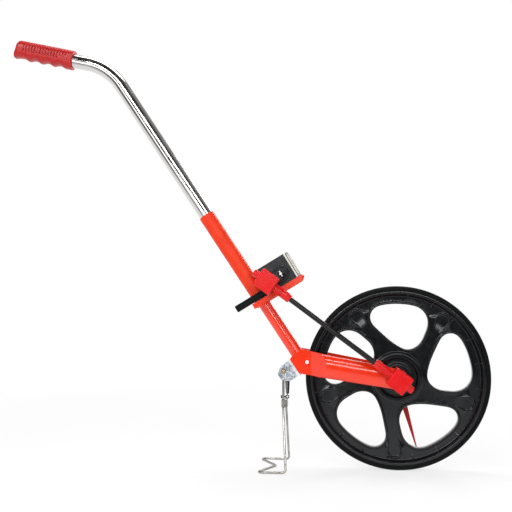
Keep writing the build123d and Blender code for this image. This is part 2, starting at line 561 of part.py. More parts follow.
kn = rod_y(NUM[0], NUM[1], 14.0, -34.0, -27.4)
kn = chamfer(kn.edges().filter_by(GeomType.CIRCLE), 0.8)
kn = kn + prism([(-8.5, -1.6), (8.5, -1.6), (8.5, 1.6), (-8.5, 1.6)], -36.6, -34.0, NUM, (CB[0], CB[1]))
kn = kn - rod_y(NUM[0], NUM[1], 2.5 + FIT, -40, -20)
save(kn, "side_knob")

lev = cbox(-45.5, 14.5, 1.0, 13.0, LEVER_Y0, LEVER_Y1)
lev = fillet(lev.edges().filter_by(Axis.Y), 1.5)
lev = lev + cbox(14.0, 25.0, 3.6, 9.6, LEVER_Y0, LEVER_Y1) + rod_y(LEV[0], LEV[1], 3.8, LEVER_Y0, LEVER_Y1)
lev = lev - rod_y(LEV[0], LEV[1], 1.5 + FIT, -40, 0)
save(lev, "reset_lever")
save(rod_y(LEV[0], LEV[1], 1.5, -HY, -12.6), "lever_pin")

# ------------------------------------------------------------------ kickstand
cheek = [xz(-16.6, 295.0), xz(-37.5, 296.1), xz(-48.2, 303.6), xz(-48.4, 314.8), xz(-36.7, 325.4), xz(-16.6, 326.2)]
kb = prism(cheek, -10.2, 10.2)
es = [e for e in kb.edges().filter_by(Axis.Y) if e.center().X < xz(-30, 310)[0] + 6 and (hypot(e.center().X - xz(-16.6, 295)[0], e.center().Z - xz(-16.6, 295)[1]) > 3) and (hypot(e.center().X - xz(-16.6, 326.2)[0], e.center().Z - xz(-16.6, 326.2)[1]) > 3)]
kb = fillet(es, 4.0)
kb = kb - prism([xz(-16.6, 280), xz(-70, 280), xz(-70, 340), xz(-16.6, 340)], -8.0, 8.0)
kb = kb + prism([xz(-16.6, 293.5), xz(-14.1, 293.5), xz(-14.1, 327.0), xz(-16.6, 327.0)], -10.2, 10.2)
kb = kb - rod_y(PIVOT[0], PIVOT[1], 3.0, -20, 20)
SPIN = xz(-40.0, 318.5)
kb = kb - rod_y(SPIN[0], SPIN[1], 1.5, -20, 20)
STOPH = (-187.2, 171.3)
kb = kb - rod_y(STOPH[0], STOPH[1], 1.6, -20, 20)
for c in scr:
    kb = kb - along((c[0] - 10 * N2[0], 0, c[1] - 10 * N2[1]), (N2[0], 0, N2[1]), 2.0, 20)
save(kb, "kickstand_bracket")
ks = []
for c in scr:
    o = (c[0] - 4.6 * N2[0], 0, c[1] - 4.6 * N2[1])
    hd = (c[0] - 7.1 * N2[0], 0, c[1] - 7.1 * N2[1])
    ks.append(along(o, (N2[0], 0, N2[1]), 2.0, 5.4) + along(hd, (N2[0], 0, N2[1]), 3.6, 2.5))
save(Compound(children=ks), "bracket_screws")
pv = rod_y(PIVOT[0], PIVOT[1], 3.0, -11.5, 13.5)
hd = (Pos(PIVOT[0], -8.6, PIVOT[1]) * Sphere(5.0)) & (Pos(PIVOT[0], -15.2, PIVOT[1]) * Box(20, 10, 20))
pv = pv + hd + extrude(side(13.2, PIVOT) * RegularPolygon(4.9, 6), 3.0)
save(pv, "kickstand_pivot")
pin = rod_y(SPIN[0], SPIN[1], 1.5, -10.6, 10.6)
for sg in (-1, 1):
    hd = Pos(SPIN[0], sg * 8.9, SPIN[1]) * Sphere(2.7)
    pin = pin + (hd & (Pos(SPIN[0], sg * 15.2, SPIN[1]) * Box(10, 10, 10)))
save(pin, "spring_pin")

SX0, SX1 = -200.7, -196.7
strap = Pos((SX0 + SX1) / 2, 0, (PIVOT[1] + 107) / 2) * Box(SX1 - SX0, 14.0, PIVOT[1] - 107)
strap = strap + rod_y(PIVOT[0], PIVOT[1], 6.2, -7.6, 7.6) - rod_y(PIVOT[0], PIVOT[1], 3.0 + FIT, -20, 20)
strap = strap - along((-210, 0, 123.0), (1, 0, 0), 1.6, 30)
save(strap, "kickstand_strap")
WR = 2.0
foot = [(-198.7, -9.4, 117.0), (-198.7, -9.4, 103.0), (-191.4, -56.0, WR), (-242.5, -57.5, WR), (-211.8, 0.0, WR),
        (-246.0, 57.5, WR), (-192.4, 56.0, WR), (-194.5, 9.4, 103.0), (-194.5, 9.4, 117.0)]
fp = FilletPolyline(*foot, radius=[12, 6, 7.5, 9, 7.5, 6, 12])
wire = sweep(Plane(origin=foot[0], z_dir=(0, 0, -1)) * Circle(WR), path=fp)
save(wire, "kickstand_legs")
# folded clip round the end of the strap and both wires
crimp = Pos(-196.6, 0, 112.2) * Box(11.0, 25.2, 12.6)
crimp = fillet(crimp.edges().filter_by(Axis.Z), 2.2)
crimp = chamfer(crimp.faces().sort_by(Axis.Z)[0].edges() + crimp.faces().sort_by(Axis.Z)[-1].edges(), 0.3)
crimp = crimp - (Pos((SX0 + SX1) / 2, 0, 110) * Box(SX1 - SX0, 14.0, 40))
for f_ in (foot[0], foot[-1]):
    crimp = crimp - along((f_[0], f_[1], 125), (0, 0, -1), WR, 30)
save(crimp, "leg_crimp")
hook = along((-203.2, 0, 123.0), (1, 0, 0), 1.5, 9.0) + along((-203.2, 0, 123.0), (1, 0, 0), 2.8, 2.4)
hook = hook + Plane(origin=(-192.0, 0, 123.0), z_dir=(0, 1, 0)) * Torus(2.7, 0.9)
save(hook, "spring_hook")
# tapered extension spring from the pin down to the hook
top_, bot_ = (SPIN[0] + 1.4, 153.0), (-191.9, 127.6)
hx, hz = bot_[0] - top_[0], bot_[1] - top_[1]
hl = hypot(hx, hz)
turns = 9
hel = Helix(pitch=hl / turns, height=hl, radius=3.5, cone_angle=-4.0)
coil = sweep(Plane(origin=hel @ 0, z_dir=hel % 0) * Circle(0.75), path=hel)
coil = Plane(origin=(top_[0], 0, top_[1]), z_dir=(hx, 0, hz)) * coil
save(coil, "kickstand_spring")

# ------------------------------------------------------------------ summary
lo = [min(getattr(b.min, c) for b in SIZES.values()) for c in "XYZ"]
hi = [max(getattr(b.max, c) for b in SIZES.values()) for c in "XYZ"]
print("nodes", len(SIZES), "low", [round(v, 2) for v in lo], "high", [round(v, 2) for v in hi], "size", [round(h - l, 2) for l, h in zip(lo, hi)])
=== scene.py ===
import bpy, bmesh, math, random
from math import sin, cos, pi, radians, hypot, atan2, sqrt
from mathutils import Vector, Matrix, Quaternion
from mathutils.geometry import delaunay_2d_cdt
from mathutils.kdtree import KDTree


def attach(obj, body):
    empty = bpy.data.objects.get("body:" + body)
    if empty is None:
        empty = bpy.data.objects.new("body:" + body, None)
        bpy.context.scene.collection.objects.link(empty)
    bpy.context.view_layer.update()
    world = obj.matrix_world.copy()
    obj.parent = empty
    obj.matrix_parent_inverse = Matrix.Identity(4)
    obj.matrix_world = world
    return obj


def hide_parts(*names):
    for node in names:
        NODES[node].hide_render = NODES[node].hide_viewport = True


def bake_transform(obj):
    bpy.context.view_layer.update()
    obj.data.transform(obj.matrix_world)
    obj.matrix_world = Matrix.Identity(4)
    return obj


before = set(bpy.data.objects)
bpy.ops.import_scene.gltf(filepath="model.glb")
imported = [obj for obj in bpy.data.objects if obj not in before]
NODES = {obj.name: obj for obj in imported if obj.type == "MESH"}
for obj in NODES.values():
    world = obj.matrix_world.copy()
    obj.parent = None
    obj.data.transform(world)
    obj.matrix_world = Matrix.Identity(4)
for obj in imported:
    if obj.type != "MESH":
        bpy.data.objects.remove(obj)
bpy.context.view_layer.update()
scene = bpy.context.scene
random.seed(11)

# ------------------------------------------------------------------ the frame's own numbers, in metres
MM = 0.001
SX, SY = 0.27055, 0.0052
HUB = Vector((SX, SY, 0.15915))
ANG = radians(56.5)
D = Vector((cos(ANG), 0, -sin(ANG)))        # down the tube
NN = Vector((sin(ANG), 0, cos(ANG)))        # square to it, forward and up
T0 = Vector((-0.3359 + SX, SY, 0.4432))     # s = 0 on the tube axis


def tube_pt(n, s, y=0.0):
    return T0 + NN * (n * MM) + D * (s * MM) + Vector((0, y * MM, 0))


BE = radians(2.2)
C0 = tube_pt(0, 178.0)
CA = NN * cos(BE) + D * sin(BE)
CB = Vector((-CA.z, 0, CA.x))


def cpt(a, b, y=0.0):
    """Point in the counter frame, mm in, metres out."""
    return C0 + CA * (a * MM) + CB * (b * MM) + Vector((0, y * MM, 0))


# ------------------------------------------------------------------ materials
def srgb(r, g, b):
    def f(c):
        c = c / 255.0
        return c / 12.92 if c <= 0.04045 else ((c + 0.055) / 1.055) ** 2.4
    return (f(r), f(g), f(b), 1.0)


class Mat:
    """A small helper round a node tree."""

    def __init__(self, name):
        self.m = bpy.data.materials.new(name)
        self.m.use_nodes = True
        self.t = self.m.node_tree
        self.b = self.t.nodes["Principled BSDF"]
        self.co = self.t.nodes.new("ShaderNodeTexCoord").outputs["Object"]

    def set(self, **k):
        for n, v in k.items():
            self.b.inputs[n.replace("_", " ")].default_value = v
        return self

    def link(self, a, b):
        self.t.links.new(a, b)

    def mapping(self, scale=(1, 1, 1), rot=(0, 0, 0), loc=(0, 0, 0)):
        n = self.t.nodes.new("ShaderNodeMapping")
        n.inputs["Scale"].default_value = scale
        n.inputs["Rotation"].default_value = rot
        n.inputs["Location"].default_value = loc
        self.link(self.co, n.inputs["Vector"])
        return n.outputs[0]

    def noise(self, scale, detail=3.0, rough=0.5, vec=None, dist=0.0):
        n = self.t.nodes.new("ShaderNodeTexNoise")
        n.inputs["Scale"].default_value = scale
        n.inputs["Detail"].default_value = detail
        n.inputs["Roughness"].default_value = rough
        n.inputs["Distortion"].default_value = dist
        self.link(vec if vec is not None else self.co, n.inputs["Vector"])
        return n.outputs["Fac"]

    def voronoi(self, scale, vec=None, feature="F1", rand=1.0):
        n = self.t.nodes.new("ShaderNodeTexVoronoi")
        n.feature = feature
        n.inputs["Scale"].default_value = scale
        n.inputs["Randomness"].default_value = rand
        self.link(vec if vec is not None else self.co, n.inputs["Vector"])
        return n.outputs["Distance"]

    def ramp(self, fac, stops):
        n = self.t.nodes.new("ShaderNodeValToRGB")
        e = n.color_ramp.elements
        while len(e) > 1:
            e.remove(e[-1])
        e[0].position, e[0].color = stops[0][0], self._c(stops[0][1])
        for p, c in stops[1:]:
            x = e.new(p)
            x.color = self._c(c)
        self.link(fac, n.inputs["Fac"])
        return n.outputs["Color"]

    @staticmethod
    def _c(c):
        if isinstance(c, (int, float)):
            return (c, c, c, 1)
        return tuple(c) if len(c) == 4 else tuple(c) + (1,)

    def rng(self, fac, a, b, lo=0.0, hi=1.0):
        n = self.t.nodes.new("ShaderNodeMapRange")
        n.inputs["From Min"].default_value = lo
        n.inputs["From Max"].default_value = hi
        n.inputs["To Min"].default_value = a
        n.inputs["To Max"].default_value = b
        self.link(fac, n.inputs["Value"])
        return n.outputs[0]

    def mix(self, fac, a, b, mode="MIX"):
        n = self.t.nodes.new("ShaderNodeMix")
        n.data_type = "RGBA"
        n.blend_type = mode
        for s, v in ((0, fac), (6, a), (7, b)):
            if isinstance(v, (int, float)):
                n.inputs[s].default_value = v if s == 0 else (v, v, v, 1)
            elif isinstance(v, tuple):
                n.inputs[s].default_value = v
            else:
                self.link(v, n.inputs[s])
        return n.outputs[2]

    def math(self, op, a, b=0.0, c=None):
        n = self.t.nodes.new("ShaderNodeMath")
        n.operation = op
        for i, v in enumerate((a, b) if c is None else (a, b, c)):
            if isinstance(v, (int, float)):
                n.inputs[i].default_value = v
            else:
                self.link(v, n.inputs[i])
        return n.outputs[0]

    def along(self, origin, axis):
        """Distance in mm from a point, measured along an axis of the object."""
        a = self.t.nodes.new("ShaderNodeVectorMath")
        a.operation = "SUBTRACT"
        self.link(self.co, a.inputs[0])
        a.inputs[1].default_value = tuple(origin)
        d = self.t.nodes.new("ShaderNodeVectorMath")
        d.operation = "DOT_PRODUCT"
        self.link(a.outputs[0], d.inputs[0])
        d.inputs[1].default_value = tuple(axis)
        return self.math("MULTIPLY", d.outputs["Value"], 1000.0)

    def edge(self, lo=0.50, hi=0.56):
        g = self.t.nodes.new("ShaderNodeNewGeometry")
        return self.rng(g.outputs["Pointiness"], 0, 1, lo, hi)

    def bump(self, height, strength=0.2, dist=0.001, prev=None):
        n = self.t.nodes.new("ShaderNodeBump")
        n.inputs["Strength"].default_value = strength
        n.inputs["Distance"].default_value = dist
        self.link(height, n.inputs["Height"])
        if prev is not None:
            self.link(prev, n.inputs["Normal"])
        return n.outputs[0]

    def out(self, color=None, rough=None, normal=None, metal=None):
        if color is not None:
            self.link(color, self.b.inputs["Base Color"])
        if rough is not None:
            self.link(rough, self.b.inputs["Roughness"])
        if normal is not None:
            self.link(normal, self.b.inputs["Normal"])
        if metal is not None:
            self.link(metal, self.b.inputs["Metallic"])
        return self.m


def paint(name, c, c2, rough=0.22, peel=0.05, coat=0.4):
    """Sprayed enamel: slight orange peel, a little dust, thin scuffs and rubbed edges."""
    k = Mat(name)
    k.set(IOR=1.5, Coat_Weight=coat, Coat_Roughness=0.08, Specular_IOR_Level=0.5)
    cloud = k.noise(18, 4)
    col = k.mix(k.rng(cloud, 0, 1, 0.3, 0.7), c, c2)
    scr = k.noise(60, 2, 0.6, k.mapping((1.0, 9.0, 1.0), (0.3, 0.9, 0.2)))
    scr2 = k.rng(scr, 0, 0.22, 0.70, 0.84)
    col = k.mix(scr2, col, tuple(min(1, v * 0.62 + 0.02) for v in c[:3]) + (1,))
    rub = k.math("MULTIPLY", k.edge(0.54, 0.64), k.rng(k.noise(260, 3), 0, 0.5, 0.55, 0.75))
    col = k.mix(rub, col, tuple(v * 0.45 + 0.05 for v in c[:3]) + (1,))
    r = k.math("ADD", k.rng(k.noise(45, 5, 0.6), rough - 0.05, rough + 0.10, 0.3, 0.75), k.rng(scr, 0, 0.12, 0.64, 0.8))
    nb = k.bump(k.noise(420, 2), peel, 0.0004)
    return k.out(col, r, nb)


def plastic(name, c, c2, rough=0.35, grain=900, gstr=0.06, flow=0.0, coat=0.0, worn=None, spec=0.5):
    k = Mat(name)
    k.set(IOR=1.49, Coat_Weight=coat, Coat_Roughness=0.12, Specular_IOR_Level=spec)
    col = k.mix(k.rng(k.noise(32, 4, 0.55, dist=0.4), 0, 1, 0.32, 0.68), c, c2)
    if worn:
        e = k.math("MULTIPLY", k.edge(0.512, 0.58), k.rng(k.noise(300, 3), 0, 1, 0.42, 0.7))
        col = k.mix(e, col, worn)
    r = k.rng(k.noise(70, 5, 0.62), rough - 0.07, rough + 0.11, 0.3, 0.72)
    nb = k.bump(k.noise(grain, 2), gstr, 0.0003)
    if flow:
        nb = k.bump(k.noise(26, 2, 0.5, dist=0.6), flow, 0.0012, nb)
    return k.out(col, r, nb)


def metal(name, c, c2, rough=0.25, brush=None, blotch=0.0, bump=0.05, spots=None):
    k = Mat(name)
    k.set(Metallic=1.0)
    col = k.mix(k.rng(k.noise(55 if blotch else 20, 5, 0.6, dist=0.8), 0, 1, 0.3, 0.7), c, c2)
    if spots:
        col = k.mix(k.rng(k.noise(150, 4, 0.7), 0, 0.55, 0.62, 0.75), col, spots)
    v = k.mapping(*brush) if brush else None
    fine = k.noise(700, 3, 0.7, v)
    r = k.math("ADD", k.rng(fine, -0.05, 0.07, 0.3, 0.7), k.rng(k.noise(60, 4), rough - 0.05, rough + 0.08 + blotch, 0.3, 0.7))
    return k.out(col, r, k.bump(fine, bump, 0.0002))


ORANGE = paint("orange_paint", srgb(247, 53, 8), srgb(236, 45, 5), 0.17, 0.03, 0.5)
BRACKET = paint("bracket_paint", srgb(246, 57, 12), srgb(234, 49, 8), 0.24, 0.05, 0.3)
SLEEVE = plastic("sleeve_coat", srgb(242, 58, 14), srgb(226, 48, 9), 0.44, 420, 0.10, 0.10, spec=0.3)
RED = plastic("red_moulding", srgb(226, 5, 10), srgb(210, 3, 8), 0.27, 700, 0.04, 0.04, 0.2, srgb(240, 40, 40), spec=0.3)
POINTER = plastic("pointer_moulding", srgb(204, 9, 13), srgb(188, 6, 10), 0.30, 800, 0.05, 0.03, 0.1, spec=0.25)
BLACK = plastic("black_moulding", srgb(15, 17, 20), srgb(10, 12, 15), 0.16, 420, 0.02, 0.02, 0.30, srgb(24, 27, 31), 0.32)
SATIN = plastic("black_satin", srgb(34, 36, 40), srgb(20, 22, 25), 0.30, 420, 0.14, 0.0, 0.05, srgb(52, 54, 58), 0.30)
GUARD = plastic("black_tube", srgb(14, 15, 17), srgb(9, 10, 12), 0.26, 700, 0.05, 0.0, 0.1, None, 0.30)
LEVER = plastic("lever_black", srgb(14, 15, 17), srgb(9, 10, 12), 0.36, 420, 0.10, 0.0, 0.0, None, 0.12)
RUBBER = plastic("tyre_rubber", srgb(9, 10, 11), srgb(6, 7, 8), 0.48, 380, 0.14, 0.02, 0.0, srgb(20, 21, 23), 0.10)
NYLON = plastic("nylon", srgb(226, 222, 208), srgb(214, 209, 192), 0.42, 700, 0.05)
CREAM = plastic("number_white", srgb(238, 235, 224), srgb(229, 225, 212), 0.45, 800, 0.04)
INK = plastic("number_ink", srgb(22, 22, 24), srgb(30, 30, 32), 0.5, 900, 0.04)
DRED = plastic("number_red", srgb(196, 30, 32), srgb(184, 26, 28), 0.42, 800, 0.04)
# Flat white: the real index mark on the knob, and also a painted highlight on the rivet heads.
WHITE = plastic("white_mark_and_rivet_glint", srgb(236, 238, 238), srgb(222, 224, 226), 0.5, 600, 0.05)
CHROME = metal("chrome_plate", (0.74, 0.73, 0.715, 1), (0.68, 0.67, 0.66, 1), 0.10, ((0.1, 0.1, 0.1), (0, 0, 0)), 0.0, 0.002)
ZINC = metal("zinc_plate", srgb(206, 214, 222), srgb(150, 164, 180), 0.36, ((5, 5, 1), (0.4, 0.2, 0.1)), 0.12, 0.10, srgb(126, 138, 152))


def bracket_zinc():
    k = Mat("zinc_bracket")
    k.set(Metallic=1.0)
    cell = k.rng(k.noise(170, 5, 0.65, dist=1.2), 0, 1, 0.38, 0.62)
    col = k.mix(cell, srgb(226, 232, 238), srgb(128, 140, 152))
    col = k.mix(k.rng(k.noise(420, 3, 0.7), 0, 0.5, 0.55, 0.72), col, srgb(96, 104, 112))
    # Band along the flange edge painted near-white: a painted highlight where light catches that edge.
    n = k.along(T0, NN)
    painted_flange_highlight = k.math("MULTIPLY", k.rng(n, 0, 1, -20.4, -19.8), k.rng(k.noise(90, 3), 0.75, 1.0))
    col = k.mix(painted_flange_highlight, col, srgb(250, 252, 253))
    r = k.rng(k.noise(150, 5, 0.6), 0.26, 0.48, 0.3, 0.7)
    return k.out(col, r, k.bump(k.noise(300, 4, 0.6), 0.12, 0.0003))


BRZINC = bracket_zinc()
WIRE = metal("plated_wire", srgb(188, 187, 182), srgb(126, 124, 118), 0.20, ((4, 4, 1), (0, 0, 0)), 0.06, 0.05, srgb(112, 102, 88))
STEEL = metal("bright_steel", srgb(208, 208, 206), srgb(184, 184, 182), 0.24, ((5, 1, 5), (0, 0, 0)), 0.05, 0.05)
DARK = metal("dark_steel", srgb(48, 48, 51), srgb(30, 30, 33), 0.42, ((5, 5, 1), (0, 0, 0)), 0.1, 0.1)
BROWN = metal("yellowed_zinc", srgb(196, 178, 150), srgb(160, 138, 108), 0.3, ((5, 5, 1), (0, 0, 0)), 0.1, 0.1)


def clear_mat():
    """Milky clear moulding: cream step next to the housing, thin dark joint, clearer front with speckles at its ends."""
    k = Mat("clear_cover")
    k.set(IOR=1.49)
    a = k.along(C0, CA)
    b = k.along(C0, CB)
    cream = k.mix(k.rng(k.noise(140, 4), 0, 1, 0.35, 0.65), srgb(248, 247, 238), srgb(236, 234, 222))
    grey = k.mix(k.rng(k.noise(900, 3, 0.7), 0, 1, 0.42, 0.60), srgb(206, 206, 200), srgb(120, 122, 120))
    body = k.mix(k.rng(k.noise(160, 4), 0, 1, 0.35, 0.65), srgb(238, 238, 230), srgb(214, 214, 204))
    endb = k.math("MAXIMUM", k.rng(b, 0, 1, 41.6, 42.4), k.rng(b, 1, 0, 4.8, 5.6))
    front = k.mix(endb, body, grey)
    col = k.mix(k.rng(a, 0, 1, 78.5, 78.9), cream, front)
    line = k.math("MULTIPLY", k.rng(a, 0, 1, 78.3, 78.6), k.rng(a, 1, 0, 79.5, 79.8))
    col = k.mix(line, col, srgb(70, 70, 66))
    tr = k.math("MULTIPLY", k.rng(a, 0.16, 0.92, 82.3, 83.0), k.rng(endb, 1.0, 0.15))
    k.link(tr, k.b.inputs["Transmission Weight"])
    r = k.rng(k.noise(180, 5, 0.65), 0.04, 0.16, 0.35, 0.72)
    return k.out(col, r, k.bump(k.noise(90, 3), 0.02, 0.0003))


CLEAR = clear_mat()


def vinyl_mat():
    k = Mat("grip_vinyl_red")
    k.set(IOR=1.5, Coat_Weight=0.1, Coat_Roughness=0.25)
    col = k.mix(k.rng(k.noise(40, 5, 0.6), 0, 1, 0.3, 0.7), srgb(192, 10, 12), srgb(178, 7, 9))
    e = k.math("MULTIPLY", k.edge(0.53, 0.62), k.rng(k.noise(240, 3), 0, 0.35, 0.4, 0.7))
    col = k.mix(e, col, srgb(214, 66, 60))
    # Concave creases, slits and dimples painted dark red: painted shade in the recesses.
    painted_crease_shade = k.rng(k.edge(0.49, 0.43), 0, 0.6)
    col = k.mix(painted_crease_shade, col, srgb(104, 12, 14))
    r = k.rng(k.noise(95, 5, 0.6), 0.34, 0.48, 0.3, 0.7)
    nb = k.bump(k.noise(1300, 3, 0.6), 0.05, 0.0002)
    return k.out(col, r, nb)


VINYL = vinyl_mat()

MATS = {
    "lower_tube": ORANGE, "fork_arm_near": ORANGE, "fork_arm_far": ORANGE, "fork_yoke": ORANGE, "counter_bracket": BRACKET,
    "tube_sleeve": SLEEVE, "sleeve_bush": SATIN, "sleeve_spacer": SATIN, "handle_guide": SATIN,
    "pointer": POINTER, "pointer_nut": STEEL, "lower_gearbox": RED, "lower_gearbox_lid": RED, "upper_gearbox": RED, "upper_gearbox_lid": RED,
    "shaft_guard": GUARD, "side_knob": BLACK, "wheel_disc": BLACK, "tyre": RUBBER,
    "counter_housing": SATIN, "counter_side_plate": SATIN, "reset_lever": LEVER,
    "counter_window": CLEAR, "handle_tube": CHROME, "grip": VINYL,
    "kickstand_bracket": BRZINC, "kickstand_strap": WIRE, "kickstand_pivot": BROWN, "bracket_screws": ZINC, "spring_hook": DARK, "leg_crimp": WIRE,
    # Rivet heads in flat white: a painted highlight standing in for the glint on the domes.
    "fork_rivets": WHITE, "spring_pin": STEEL, "kickstand_legs": WIRE, "kickstand_spring": DARK,
    "axle_gear": NYLON, "lower_pinion": NYLON, "upper_pinion": NYLON, "input_mitre": NYLON, "input_gear": NYLON, "idler_gear": NYLON, "drum_gear": NYLON,
    "axle_bush_near": NYLON, "axle_bush_far": NYLON, "input_bush": NYLON, "hub_spacers": NYLON,
    "number_wheel_1": DRED,
}
for i in range(2, 6):
    MATS["number_wheel_%d" % i] = CREAM
for n, o in NODES.items():
    m = MATS.get(n, STEEL)
    for i in range(len(o.material_slots)):
        o.material_slots[i].material = m


# ------------------------------------------------------------------ softened edges on the pressed and moulded CAD pieces
def soften(node, width, seg=2, angle=28, planar=1.0):
    o = NODES[node]
    w = o.modifiers.new("weld", "WELD")
    w.merge_threshold = 0.00002
    d = o.modifiers.new("flat", "DECIMATE")
    d.decimate_type = "DISSOLVE"
    d.angle_limit = radians(planar)
    b = o.modifiers.new("round", "BEVEL")
    b.width = width * MM
    b.segments = seg
    b.limit_method = "ANGLE"
    b.angle_limit = radians(angle)
    b.use_clamp_overlap = True
    b.harden_normals = True
    b.miter_outer = "MITER_ARC"
    return o


for n, w in (("lower_gearbox", 0.5), ("upper_gearbox", 0.5), ("lower_gearbox_lid", 0.5), ("upper_gearbox_lid", 0.5),
             ("counter_bracket", 0.5), ("counter_housing", 0.6), ("kickstand_strap", 0.6), ("reset_lever", 0.6)):
    soften(n, w)


# ------------------------------------------------------------------ mesh helpers
def make(name, verts, faces, mat, body=None, replaces=(), smooth=True, sharp=None, slot=None):
    me = bpy.data.meshes.new(name)
    me.from_pydata([tuple(v) for v in verts], [], faces)
    me.update()
    if smooth:
        me.polygons.foreach_set("use_smooth", [True] * len(me.polygons))
        if sharp:
            me.set_sharp_from_angle(angle=radians(sharp))
    o = bpy.data.objects.new(name, me)
    bpy.context.collection.objects.link(o)
    for m in (mat if isinstance(mat, (list, tuple)) else [mat]):
        me.materials.append(m)
    if body:
        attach(o, body)
    if replaces:
        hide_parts(*replaces)
    return o


def lathe(profile, seg, origin, axis, name, mat, closed=True, sharp=35, wobble=None, **kw):
    """Revolve (radius, along) points in mm round axis through origin."""
    axis = Vector(axis).normalized()
    u = axis.orthogonal().normalized()
    v = axis.cross(u)
    vs, fs = [], []
    n = len(profile)
    for i in range(seg):
        t = 2 * pi * i / seg
        d = u * cos(t) + v * sin(t)
        for j, (r, a) in enumerate(profile):
            rr = r + (wobble(t, j, r, a) if wobble else 0.0)
            vs.append(Vector(origin) + d * (rr * MM) + axis * (a * MM))
    m = n if closed else n - 1
    for i in range(seg):
        i2 = (i + 1) % seg
        for j in range(m):
            j2 = (j + 1) % n
            fs.append((i * n + j, i2 * n + j, i2 * n + j2, i * n + j2))
    o = make(name, vs, fs, mat, sharp=sharp, **kw)
    bm = bmesh.new()
    bm.from_mesh(o.data)
    bmesh.ops.recalc_face_normals(bm, faces=bm.faces)
    bm.to_mesh(o.data)
    bm.free()
    return o


# ------------------------------------------------------------------ wheel moulding
HOLE = [(61.9, 60.4), (66.0, 62.7), (69.3, 65.5), (71.8, 68.8), (73.3, 72.2), (73.9, 75.7),
        (74.0, 81.9), (74.0, 90.1), (74.1, 96.2), (74.1, 99.9), (74.0, 104.1), (72.8, 108.4),
        (69.6, 112.0), (64.9, 114.3), (59.2, 114.5), (53.7, 112.5), (49.4, 110.3), (42.9, 105.7),
        (37.4, 99.9), (32.6, 90.6), (30.7, 83.6), (29.7, 74.7), (31.1, 66.0), (34.6, 60.2),
        (39.0, 57.2), (43.7, 56.4), (48.4, 57.1), (52.9, 58.0), (57.5, 58.9)]
HS = 1.732


def catmull(p, per):
    """Closed smooth curve through the points."""
    out = []
    k = len(p)
    for i in range(k):
        p0, p1, p2, p3 = p[i - 1], p[i], p[(i + 1) % k], p[(i + 2) % k]
        for j in range(per):
            t = j / per
            t2, t3 = t * t, t * t * t
            out.append(tuple(0.5 * ((2 * p1[c]) + (-p0[c] + p2[c]) * t + (2 * p0[c] - 5 * p1[c] + 4 * p2[c] - p3[c]) * t2 + (-p0[c] + 3 * p1[c] - 3 * p2[c] + p3[c]) * t3) for c in (0, 1)))
    return out


def even(p, n):
    """Resample a closed polyline to n evenly spaced points."""
    L = [0.0]
    k = len(p)
    for i in range(k):
        a, b = p[i], p[(i + 1) % k]
        L.append(L[-1] + hypot(b[0] - a[0], b[1] - a[1]))
    out = []
    j = 0
    for i in range(n):
        s = L[-1] * i / n
        while L[j + 1] < s:
            j += 1
        f = (s - L[j]) / max(1e-9, L[j + 1] - L[j])
        a, b = p[j % k], p[(j + 1) % k]
        out.append((a[0] + (b[0] - a[0]) * f, a[1] + (b[1] - a[1]) * f))
    return out


def smooth_ring(p, times):
    k = len(p)
    for _ in range(times):
        p = [((p[i - 1][0] + 2 * p[i][0] + p[(i + 1) % k][0]) / 4, (p[i - 1][1] + 2 * p[i][1] + p[(i + 1) % k][1]) / 4) for i in range(k)]
    return p


def offset_ring(p, d):
    k = len(p)
    area = sum(p[i][0] * p[(i + 1) % k][1] - p[(i + 1) % k][0] * p[i][1] for i in range(k))
    s = 1.0 if area > 0 else -1.0
    out = []
    for i in range(k):
        tx, tz = p[(i + 1) % k][0] - p[i - 1][0], p[(i + 1) % k][1] - p[i - 1][1]
        ln = hypot(tx, tz)
        out.append((p[i][0] + s * d * tz / ln, p[i][1] - s * d * tx / ln))
    return out


